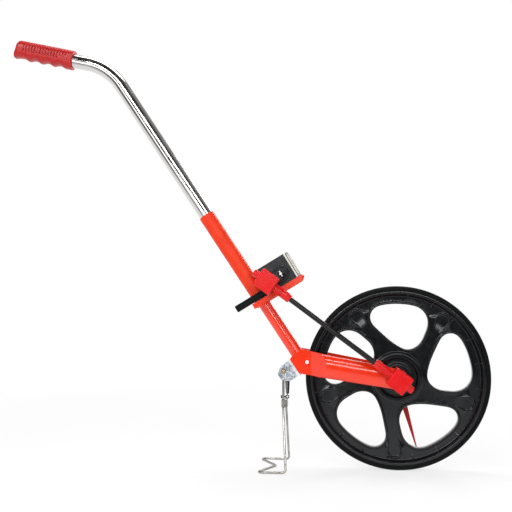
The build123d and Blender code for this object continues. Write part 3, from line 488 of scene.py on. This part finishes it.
def wheel_mesh():
    rings = []        # (points, height, kind)
    # radial profile of one face: radius, half thickness
    prof = [(5.0, 22.0), (23.2, 22.0), (24.2, 21.8), (24.8, 21.2), (25.05, 20.4), (25.5, 9.8), (25.9, 8.7), (26.8, 8.15), (28.0, 8.0),
            (31.8, 8.0), (32.9, 8.2), (33.5, 8.9), (33.8, 9.8), (34.1, 12.0), (34.5, 12.7), (35.3, 13.0), (41.0, 13.0), (42.3, 12.8), (43.2, 12.2),
            (43.6, 11.2), (44.1, 6.2), (44.5, 4.9), (45.3, 4.2), (46.2, 4.0)]
    rim = [(140.2, 4.0), (141.4, 4.1), (142.1, 4.5), (142.7, 5.2), (144.3, 7.4), (144.7, 8.2), (145.0, 9.4), (145.3, 10.6), (145.7, 11.4), (146.3, 11.85), (147.0, 12.0),
           (149.2, 12.0), (150.2, 11.85), (150.9, 11.4), (151.2, 10.7), (151.3, 9.8)]
    for r, h in prof:
        n = 48 if r < 10 else 120
        rings.append(([(r * cos(2 * pi * i / n), r * sin(2 * pi * i / n)) for i in range(n)], h))
    for r, h in rim:
        n = 400
        rings.append(([(r * cos(2 * pi * i / n), r * sin(2 * pi * i / n)) for i in range(n)], h))
    lip = [(0.0, 5.2), (0.25, 5.9), (0.7, 6.35), (1.3, 6.5), (2.4, 6.5), (3.1, 6.35), (3.6, 5.9), (3.95, 5.1), (4.3, 4.4), (4.9, 4.0)]
    POCK = [(-2.6, 2.6), (-1.6, 2.7), (-0.8, 3.2), (-0.3, 4.2), (0.1, 4.95), (0.6, 5.4), (1.2, 5.5), (1.8, 5.4), (2.4, 4.95), (2.9, 4.4), (3.4, 4.1), (3.9, 4.0)]
    holes, pocks = [], []
    for k in range(5):
        p = [(r * HS * cos(radians(a + 72 * k)), r * HS * sin(radians(a + 72 * k))) for r, a in HOLE]
        p = smooth_ring(even(catmull(p, 10), 190), 6)
        holes.append(p)
        for off, h in lip:
            rings.append((offset_ring(p, off), h))
        # recess with a raised rim where the spoke runs into the wheel rim
        t1, t2 = radians(51.5 + 72 * k), radians(49.5 + 72 * k)
        c1, r1 = (126.0 * cos(t1), 126.0 * sin(t1)), 11.5
        c2, r2 = (98.0 * cos(t2), 98.0 * sin(t2)), 3.6
        dx, dz = c1[0] - c2[0], c1[1] - c2[1]
        L = hypot(dx, dz)
        a0 = atan2(dz, dx)
        b = math.acos((r1 - r2) / L)
        pocks.append((c1, r1, c2, r2))
        for off, h in POCK:
            pts = []
            for i in range(49):
                t = a0 - b + 2 * b * i / 48
                pts.append((c1[0] + (r1 + off) * cos(t), c1[1] + (r1 + off) * sin(t)))
            for i in range(17):
                t = a0 + b + (2 * pi - 2 * b) * i / 16
                pts.append((c2[0] + (r2 + off) * cos(t), c2[1] + (r2 + off) * sin(t)))
            rings.append((even(pts, 96), h))
    pts, edges, hs = [], [], []
    for p, h in rings:
        s = len(pts)
        pts += [Vector(q) for q in p]
        hs += [h] * len(p)
        edges += [(s + i, s + (i + 1) % len(p)) for i in range(len(p))]
    ov, oe, of_, vo, eo, fo = delaunay_2d_cdt(pts, edges, [], 0, 1e-5)
    # height from the distance to each feature, so crossing outlines blend
    table = sorted(prof + rim)

    def lut(tab, x):
        if x <= tab[0][0]:
            return tab[0][1]
        for (x0, y0), (x1, y1) in zip(tab, tab[1:]):
            if x <= x1:
                return y0 + (y1 - y0) * (x - x0) / (x1 - x0)
        return tab[-1][1]

    kd = KDTree(5 * 760)
    i = 0
    for p in holes:
        for q in even(p, 760):
            kd.insert((q[0], q[1], 0), i)
            i += 1
    kd.balance()
    hh = []
    for i, q in enumerate(ov):
        r = hypot(q[0], q[1])
        h = lut(table, r)
        if 40 < r < 143:
            d = kd.find((q[0], q[1], 0))[2]
            if d < 5.0:
                h = max(h, lut(lip, d))
            if 84 < r:
                sd = 99.0
                for c1, r1, c2, r2 in pocks:
                    if hypot(q[0] - c1[0], q[1] - c1[1]) < 60:
                        for j in range(61):
                            f = j / 60
                            sd = min(sd, hypot(q[0] - c1[0] + (c1[0] - c2[0]) * f, q[1] - c1[1] + (c1[1] - c2[1]) * f) - (r1 + (r2 - r1) * f))
                f = min(1.0, max(0.0, (r - 104.0) / 18.0))
                f = f * f * (3 - 2 * f)
                if sd < -0.6:
                    h = 4.0 + (lut(POCK, sd) - 4.0) * f
                elif sd < 3.9:
                    h = max(h, 4.0 + (lut(POCK, sd) - 4.0) * f)
        hh.append(h)

    def inside(x, z, poly):
        c = False
        k = len(poly)
        j = k - 1
        for i in range(k):
            if ((poly[i][1] > z) != (poly[j][1] > z)) and (x < (poly[j][0] - poly[i][0]) * (z - poly[i][1]) / (poly[j][1] - poly[i][1]) + poly[i][0]):
                c = not c
            j = i
        return c

    boxes = [(min(q[0] for q in p), max(q[0] for q in p), min(q[1] for q in p), max(q[1] for q in p)) for p in holes]
    faces = []
    for f in of_:
        x = sum(ov[i][0] for i in f) / len(f)
        z = sum(ov[i][1] for i in f) / len(f)
        r = hypot(x, z)
        if r < 4.98 or r > 151.35:
            continue
        if any(b[0] < x < b[1] and b[2] < z < b[3] and inside(x, z, p) for b, p in zip(boxes, holes)):
            continue
        faces.append(tuple(f))
    # two faces and the walls that join them
    n = len(ov)
    vs = [(q[0], -h, q[1]) for q, h in zip(ov, hh)] + [(q[0], h, q[1]) for q, h in zip(ov, hh)]
    count = {}
    for f in faces:
        for i in range(len(f)):
            a, b = f[i], f[(i + 1) % len(f)]
            count[(a, b)] = count.get((a, b), 0) + 1
    out = []
    for f in faces:
        out.append(tuple(f))
        out.append(tuple(i + n for i in reversed(f)))
    for (a, b) in list(count):
        if (b, a) not in count:
            out.append((b, a, a + n, b + n))
    # gussets between web and rim, rounded fins
    for k in range(20):
        t = radians(10.6 + 18 * k)
        for sg in (-1, 1):
            s = len(vs)
            sec = [(134.5, 3.8), (136.5, 4.8), (140.5, 7.4), (143.0, 9.4), (144.4, 10.9), (145.0, 11.1), (145.5, 11.1), (145.5, 3.8)]
            for w in (-1.0, -0.72, 0.72, 1.0):
                for r, h in sec:
                    hh_ = h - (0.35 if abs(w) == 1.0 and h > 3.9 else 0.0)
                    ww = w if h > 3.9 else w * 1.25
                    vs.append((r * cos(t) - ww * sin(t), sg * hh_, r * sin(t) + ww * cos(t)))
            m = len(sec)
            for q in range(3):
                for j in range(m - 1):
                    f = (s + q * m + j, s + q * m + j + 1, s + (q + 1) * m + j + 1, s + (q + 1) * m + j)
                    out.append(f if sg < 0 else tuple(reversed(f)))
            for q in (0, 3):
                f = tuple(s + q * m + j for j in range(m))
                out.append(f)
    ws = [HUB + Vector(v) * MM for v in vs]
    o = make("wheel_moulding", ws, out, BLACK, "wheel", ["wheel_disc"], slot="black_plastic")
    bm = bmesh.new()
    bm.from_mesh(o.data)
    bmesh.ops.recalc_face_normals(bm, faces=bm.faces)
    bm.to_mesh(o.data)
    bm.free()
    o.data.set_sharp_from_angle(angle=radians(50))
    wn = o.modifiers.new("flats", "WEIGHTED_NORMAL")
    wn.keep_sharp = True
    return o


wheel_mesh()

# ------------------------------------------------------------------ tyre: rounded shoulders and fine grooves round the tread
tp = [(151.3, -11.9), (151.8, -12.3), (152.8, -12.4), (155.0, -12.4), (156.3, -12.1), (157.4, -11.2), (158.3, -9.8), (158.85, -8.3)]
for g in (-6.3, -2.1, 2.1, 6.3):
    tp += [(159.0, g - 1.5), (159.1, g - 0.75), (158.95, g - 0.55), (158.2, g - 0.4), (158.2, g + 0.4), (158.95, g + 0.55), (159.1, g + 0.75)]
tp += [(159.0, 7.6), (158.85, 8.3), (158.3, 9.8), (157.4, 11.2), (156.3, 12.1), (155.0, 12.4), (152.8, 12.4), (151.8, 12.3), (151.3, 11.9)]
lathe(tp, 288, HUB, (0, 1, 0), "tyre_band", RUBBER, body="wheel", replaces=["tyre"], slot="tyre_black", sharp=60)

# ------------------------------------------------------------------ grip
BEND = radians(44.0)
HB = 104.0
p1 = tube_pt(0, -287.6)
up, lf = -D, -NN
bc = p1 + lf * (HB * MM)
p2 = bc - lf * (HB * cos(BEND) * MM) + up * (HB * sin(BEND) * MM)
E = (up * cos(BEND) + lf * sin(BEND)).normalized()
M = Vector((-E.z, 0, E.x))
if M.z < 0:
    M = -M


def grip_mesh():
    e0, e1 = 27.0, 138.0
    step = 23.6
    rows = []
    k = 0
    es = []
    x = e0
    while x < e1 - 1e-6:
        es.append(x)
        x += 0.4
    es.append(e1)
    na = 132
    vs, fs = [], []
    sections = []

    def wave(e):
        """Underside, measured down from the axis."""
        u = (e - (e0 + 24.0)) / step
        if u < -0.5:
            return 16.8
        c = cos(2 * pi * u)
        v = (1 - c) / 2          # 0 in a recess, 1 on a ridge
        if u > 3.0:
            v = min(1.0, (u - 3.0) / 0.72) ** 2
        return 13.9 + 2.9 * v ** 1.4

    for e in es:
        dn = wave(e)
        endr = 0.0
        t = (e1 - e)
        if t < 7.5:
            endr = 7.5 - sqrt(max(0, 7.5 ** 2 - (7.5 - t) ** 2))
        s2 = e - e0
        shr = 0.0
        if s2 < 1.4:
            shr = 1.4 - sqrt(max(0, 1.4 ** 2 - (1.4 - s2) ** 2))
        ring = []
        for i in range(na):
            a = 2 * pi * i / na
            ca, sa = cos(a), sin(a)
            hw = 15.6 - endr * (0.75 if sa > 0 else 0.75 * (1 + sa) ** 2) - shr
            hu = 18.0 - endr * 1.15 - shr
            hd = dn - endr * 0.06 - shr
            ex = 2.6
            y = math.copysign(abs(ca) ** (2 / ex), ca) * hw
            m = math.copysign(abs(sa) ** (2 / ex), sa) * (hu if sa > 0 else hd)
            # slits across the upper half of the sides, and a row of dimples above them
            ph = (e - (e0 + 13.0)) / 5.4
            kk = round(ph)
            dlt = abs(ph - kk) * 5.4
            if 0 <= kk < 16 and abs(y) > 9:
                lo_, hi_ = (-2.5, 11.6) if kk > 2 else (2.0 + 1.5 * (2 - kk), 11.6)
                if lo_ < m < hi_:
                    w = max(0.0, 1 - (dlt / 1.05) ** 2) * min(1, (hi_ - m) / 0.8, (m - lo_) / 0.8)
                    y -= math.copysign(1.7 * max(0, w) ** 0.6, y)
                rr = hypot(dlt, (m - 13.7))
                if rr < 1.2:
                    dd = 0.8 * (1 - (rr / 1.2) ** 2)
                    ln = hypot(y, m)
                    y -= dd * y / ln
                    m -= dd * m / ln
            ring.append((y, m))
        sections.append((e, ring))
    for e, ring in sections:
        for y, m in ring:
            vs.append(p2 + E * (e * MM) + M * (m * MM) + Vector((0, y * MM, 0)))
    for k in range(len(sections) - 1):
        for i in range(na):
            j = (i + 1) % na
            fs.append((k * na + i, k * na + j, (k + 1) * na + j, (k + 1) * na + i))
    # closed far end, slightly domed
    base = (len(sections) - 1) * na
    last = sections[-1][1]
    prev = base
    for f, bulge in ((0.86, 0.35), (0.6, 0.7), (0.3, 0.85)):
        s = len(vs)
        for y, m in last:
            vs.append(p2 + E * ((e1 + bulge - 0.9) * MM) + M * (m * f * MM) + Vector((0, y * f * MM, 0)))
        for i in range(na):
            j = (i + 1) % na
            fs.append((prev + i, prev + j, s + j, s + i))
        prev = s
    c = len(vs)
    vs.append(p2 + E * (e1 * MM))
    for i in range(na):
        fs.append((prev + i, prev + (i + 1) % na, c))
    # near end, a lip that turns in to the tube
    prev = 0
    for r, de in ((13.6, -0.1), (12.7, 0.4), (12.55, 3.0)):
        s = len(vs)
        for i in range(na):
            a = 2 * pi * i / na
            vs.append(p2 + E * ((e0 + de) * MM) + M * (r * sin(a) * MM) + Vector((0, r * cos(a) * MM, 0)))
        for i in range(na):
            j = (i + 1) % na
            fs.append((prev + j, prev + i, s + i, s + j))
        prev = s
    o = make("grip_vinyl", vs, fs, VINYL, "handle", ["grip"], slot="grip_red", sharp=70)
    bm = bmesh.new()
    bm.from_mesh(o.data)
    bmesh.ops.recalc_face_normals(bm, faces=bm.faces)
    bm.to_mesh(o.data)
    bm.free()
    return o


grip_mesh()


# ------------------------------------------------------------------ swept round bars
def sweep(name, pts, radius, mat, seg=16, caps=True, **kw):
    """Tube of the given radius (mm, number or list) along points in metres."""
    n = len(pts)
    tang = []
    for i in range(n):
        a, b = pts[max(0, i - 1)], pts[min(n - 1, i + 1)]
        tang.append((b - a).normalized())
    u = tang[0].orthogonal().normalized()
    vs, fs = [], []
    for i in range(n):
        if i:
            q = tang[i - 1].rotation_difference(tang[i])
            u = (q @ u).normalized()
            u = (u - tang[i] * u.dot(tang[i])).normalized()
        v = tang[i].cross(u)
        r = radius[i] if isinstance(radius, (list, tuple)) else radius
        for j in range(seg):
            t = 2 * pi * j / seg
            vs.append(pts[i] + (u * cos(t) + v * sin(t)) * (r * MM))
    for i in range(n - 1):
        for j in range(seg):
            k = (j + 1) % seg
            fs.append((i * seg + j, i * seg + k, (i + 1) * seg + k, (i + 1) * seg + j))
    if caps:
        fs.append(tuple(reversed(range(seg))))
        fs.append(tuple((n - 1) * seg + j for j in range(seg)))
    return make(name, vs, fs, mat, sharp=50, **kw)


# chrome handle tube
hp = [tube_pt(0, 62.0), tube_pt(0, 61.5)]
k = 0
s = 55.0
while s > -287.0:
    hp.append(tube_pt(0, s))
    s -= 12.0
hp.append(p1)
for i in range(1, 49):
    t = BEND * i / 48
    hp.append(bc - lf * (HB * cos(t) * MM) + up * (HB * sin(t) * MM))
for i in range(1, 12):
    hp.append(p2 + E * ((131.5 * i / 11) * MM))
sweep("handle_chrome", hp, 12.5, CHROME, seg=96, body="handle", replaces=["handle_tube"], slot="chrome")

# ------------------------------------------------------------------ kickstand spring: a drawn coil with a loop at each end
SPIN = tube_pt(-40.0, 318.5)
HOOK = Vector((-0.1920 + SX, SY, 0.1230))


def spring_mesh():
    top = SPIN + Vector((0.0016, 0, -0.0042))
    bot = HOOK + Vector((0.0004, 0, 0.0052))
    ax = (bot - top).normalized()
    u = Vector((0, 1, 0))
    v = ax.cross(u).normalized()
    L = (bot - top).length
    pts, rad = [], []
    # loop round the upper pin
    for i in range(15):
        t = radians(-250 + 215 * i / 14)
        pts.append(SPIN + (Vector((cos(t), 0, sin(t))) * 0.0024) + Vector((0, 0.0006 * (i / 14.0), 0)))
        rad.append(0.7)
    turns = 13
    m = turns * 20
    for i in range(m + 1):
        f = i / m
        r = 3.75 - 1.45 * f
        if f < 0.04:
            r *= 0.4 + 15 * f
        if f > 0.96:
            r *= 0.4 + 15 * (1 - f)
        t = 2 * pi * turns * f
        pts.append(top + ax * (L * f) + (u * cos(t) + v * sin(t)) * (r * MM))
        rad.append(0.72)
    for i in range(15):
        t = radians(100 + 230 * i / 14)
        pts.append(HOOK + (Vector((cos(t), 0, sin(t))) * 0.0022) + Vector((0, 0.0005, 0)))
        rad.append(0.7)
    o = sweep("spring_coil", pts, rad, DARK, seg=10, replaces=["kickstand_spring"])
    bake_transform(o)
    return o


spring_mesh()

# ------------------------------------------------------------------ figures on the number wheels
NUM = cpt(55.0, 19.8)


def digits():
    cu = bpy.data.curves.new("figure", "FONT")
    cu.size = 1.0
    tmp = bpy.data.objects.new("figure", cu)
    bpy.context.collection.objects.link(tmp)
    meshes = []
    for d in range(10):
        cu.body = str(d)
        bpy.context.view_layer.update()
        ev = tmp.evaluated_get(bpy.context.evaluated_depsgraph_get())
        me = bpy.data.meshes.new_from_object(ev)
        bm = bmesh.new()
        bm.from_mesh(me)
        bmesh.ops.triangulate(bm, faces=bm.faces)
        bmesh.ops.subdivide_edges(bm, edges=bm.edges, cuts=2, use_grid_fill=False)
        bmesh.ops.triangulate(bm, faces=bm.faces)
        xs = [v.co.x for v in bm.verts]
        ys = [v.co.y for v in bm.verts]
        cx, cy = (min(xs) + max(xs)) / 2, (min(ys) + max(ys)) / 2
        meshes.append(([((v.co.x - cx), (v.co.y - cy)) for v in bm.verts], [tuple(v.index for v in f.verts) for f in bm.faces]))
        bm.free()
        bpy.data.meshes.remove(me)
    bpy.data.objects.remove(tmp)
    R = 17.0 + 0.06
    for w in range(5):
        y0 = -18.0 + 7.6 * w + 3.6
        vs, fs = [], []
        for d in range(10):
            # figure 0 faces the window; figures stand with their tops towards the bracket
            mid = radians(36.0 * d * (-1 if w % 2 == 0 else -1))
            q, f = meshes[d]
            s = len(vs)
            for x, y in q:
                al = -(y * 8.6) / 17.0
                t = mid + al
                rad_ = R
                pos = NUM + CA * (cos(t) * rad_ * MM) + CB * (sin(t) * rad_ * MM) + Vector((0, (y0 - x * 7.4) * MM, 0))
                vs.append(pos)
            fs += [tuple(s + i for i in g) for g in f]
        o = make("figures_%d" % (w + 1), vs, fs, CREAM if w == 0 else INK, "digit_%d" % (w + 1), smooth=False)
        so = o.modifiers.new("thick", "SOLIDIFY")
        so.thickness = 0.00005
        so.offset = 1


digits()

# ------------------------------------------------------------------ white mark on the side knob
km = []
sel = NODES["side_knob"]
wm_pts = []
for i in range(24):
    t = 2 * pi * i / 24
    rr = 1.1
    x = cos(t) * rr + math.copysign(4.4, cos(t)) if abs(cos(t)) > 1e-9 else 0
    wm_pts.append((x, sin(t) * rr))


def slab(name, outline, y0, y1, origin, ax, bx, mat, body, bev=0.15):
    """Prism of an outline in two axes, between two y values, edges eased."""
    n = len(outline)
    vs = [origin + ax * (p[0] * MM) + bx * (p[1] * MM) + Vector((0, y * MM, 0)) for y in (y0, y1) for p in outline]
    fs = [tuple(range(n)), tuple(reversed(range(n, 2 * n)))]
    fs += [(i, i + n, (i + 1) % n + n, (i + 1) % n) for i in range(n)]
    o = make(name, vs, fs, mat, body, smooth=True, sharp=40)
    bm = bmesh.new()
    bm.from_mesh(o.data)
    bmesh.ops.recalc_face_normals(bm, faces=bm.faces)
    bm.to_mesh(o.data)
    bm.free()
    if bev:
        b = o.modifiers.new("round", "BEVEL")
        b.width = bev * MM
        b.segments = 2
        b.limit_method = "ANGLE"
        b.angle_limit = radians(40)
    return o


slab("knob_mark", wm_pts, -36.9, -36.4, NUM, CB, CA, WHITE, "knob", 0.12)

# ------------------------------------------------------------------ floor, light, camera
def floor_mat():
    k = Mat("floor_pale")
    k.set(Specular_IOR_Level=0.1)
    col = k.mix(k.rng(k.noise(0.8, 3), 0, 1, 0.3, 0.7), (0.93, 0.93, 0.93, 1), (0.91, 0.91, 0.913, 1))
    k.out(col, k.rng(k.noise(3, 3), 0.65, 0.8), k.bump(k.noise(300, 2), 0.01, 0.0005))
    ln = k.t.nodes.new("ShaderNodeVectorMath")
    ln.operation = "LENGTH"
    k.link(k.co, ln.inputs[0])
    far = k.rng(ln.outputs["Value"], 0.70, 1.0, 0.45, 1.2)
    sx = k.t.nodes.new("ShaderNodeSeparateXYZ")
    k.link(k.co, sx.inputs[0])
    dim = k.rng(sx.outputs["Y"], 0.10, 1.0, -1.6, -0.2)
    lp = k.t.nodes.new("ShaderNodeLightPath")
    glow = k.math("MAXIMUM", dim, lp.outputs["Is Camera Ray"])
    em = k.t.nodes.new("ShaderNodeEmission")
    em.inputs["Color"].default_value = (1, 1, 1, 1)
    k.link(glow, em.inputs["Strength"])
    mx = k.t.nodes.new("ShaderNodeMixShader")
    k.link(far, mx.inputs[0])
    k.link(k.b.outputs[0], mx.inputs[1])
    k.link(em.outputs[0], mx.inputs[2])
    out = next(n for n in k.t.nodes if n.type == "OUTPUT_MATERIAL")
    k.link(mx.outputs[0], out.inputs["Surface"])
    return k.m


vs = [(0, 0, 0)]
fl = []
for i in range(96):
    t = 2 * pi * i / 96
    vs.append((30 * cos(t), 30 * sin(t), 0))
for i in range(96):
    fl.append((0, 1 + i, 1 + (i + 1) % 96))
floor = make("floor", [Vector(v) + Vector((0, 0, -0.0002)) for v in vs], fl, floor_mat(), smooth=False)

w = bpy.data.worlds.new("studio")
scene.world = w
w.use_nodes = True
nt = w.node_tree
bg = nt.nodes["Background"]
tc = nt.nodes.new("ShaderNodeTexCoord")
sep = nt.nodes.new("ShaderNodeSeparateXYZ")
nt.links.new(tc.outputs["Generated"], sep.inputs[0])


def world_ramp(sock, stops):
    mr = nt.nodes.new("ShaderNodeMapRange")
    mr.inputs["From Min"].default_value = -1
    mr.inputs["From Max"].default_value = 1
    nt.links.new(sock, mr.inputs["Value"])
    rp = nt.nodes.new("ShaderNodeValToRGB")
    e = rp.color_ramp.elements
    e[0].position, e[0].color = (stops[0][0] + 1) / 2, (stops[0][1],) * 3 + (1,)
    e[1].position, e[1].color = (stops[-1][0] + 1) / 2, (stops[-1][1],) * 3 + (1,)
    for q, c in stops[1:-1]:
        x = e.new((q + 1) / 2)
        x.color = (c, c, c, 1)
    nt.links.new(mr.outputs[0], rp.inputs["Fac"])
    return rp.outputs["Color"]


depth = world_ramp(sep.outputs["Y"], [(-1, 0.03), (-0.80, 0.04), (-0.50, 0.16), (-0.15, 0.50), (0.15, 0.95), (1, 1.0)])
height = world_ramp(sep.outputs["Z"], [(-1, 1.0), (0.30, 1.0), (0.55, 0.34), (1, 0.24)])
mul = nt.nodes.new("ShaderNodeMix")
mul.data_type = "RGBA"
mul.blend_type = "MULTIPLY"
mul.inputs[0].default_value = 1.0
nt.links.new(depth, mul.inputs[6])
nt.links.new(height, mul.inputs[7])
lpw = nt.nodes.new("ShaderNodeLightPath")
pick = nt.nodes.new("ShaderNodeMix")
pick.data_type = "RGBA"
nt.links.new(lpw.outputs["Is Camera Ray"], pick.inputs[0])
nt.links.new(mul.outputs[2], pick.inputs[6])
pick.inputs[7].default_value = (1, 1, 1, 1)
nt.links.new(pick.outputs[2], bg.inputs["Color"])
bg.inputs["Strength"].default_value = 1.0


def area(name, loc, target, size, power, color=(1, 1, 1), up=None):
    l = bpy.data.lights.new(name, "AREA")
    l.shape = "RECTANGLE"
    l.size, l.size_y = size
    l.energy = power
    l.color = color
    o = bpy.data.objects.new(name, l)
    bpy.context.collection.objects.link(o)
    z = (Vector(loc) - Vector(target)).normalized()
    x = (Vector(up) if up is not None else Vector((0, 0, 1)).cross(z)).normalized()
    x = (x - z * x.dot(z)).normalized()
    y = z.cross(x)
    m = Matrix((x, y, z)).transposed().to_4x4()
    m.translation = Vector(loc)
    o.matrix_world = m
    o.visible_camera = False
    return o


area("strip_low", (0.20, -1.95, 0.60), (0.15, 0, 0.2), (1.6, 0.20), 9)
area("strip_high", (0.15, -1.62, 1.42), (0.1, 0, 0.25), (1.8, 0.26), 13)
area("strip_tube", (-0.62, -1.13, 0.34), (-0.1, 0, 0.5), (1.4, 0.42), 3.2, up=D)
area("key", (-1.3, -1.5, 1.9), (0, 0, 0.3), (0.6, 0.6), 15)
area("fill", (1.6, -1.5, 1.0), (0.1, 0, 0.25), (0.5, 0.9), 6, (0.93, 0.96, 1.0))
area("top", (0.1, 0.5, 2.4), (0, 0, 0.3), (1.4, 0.9), 24)
area("rim", (0.9, 1.6, 1.2), (0, 0, 0.3), (0.8, 0.8), 10)

cam_d = bpy.data.cameras.new("camera")
cam = bpy.data.objects.new("camera", cam_d)
bpy.context.collection.objects.link(cam)
cam_d.lens = 57.3
cam_d.sensor_width = 36.0
cam.location = (0.17365, -1.4417, 0.3203)
cam.rotation_euler = (radians(92.038), 0, radians(5.950))
scene.camera = cam
scene.view_settings.view_transform = "Standard"
scene.view_settings.look = "None"
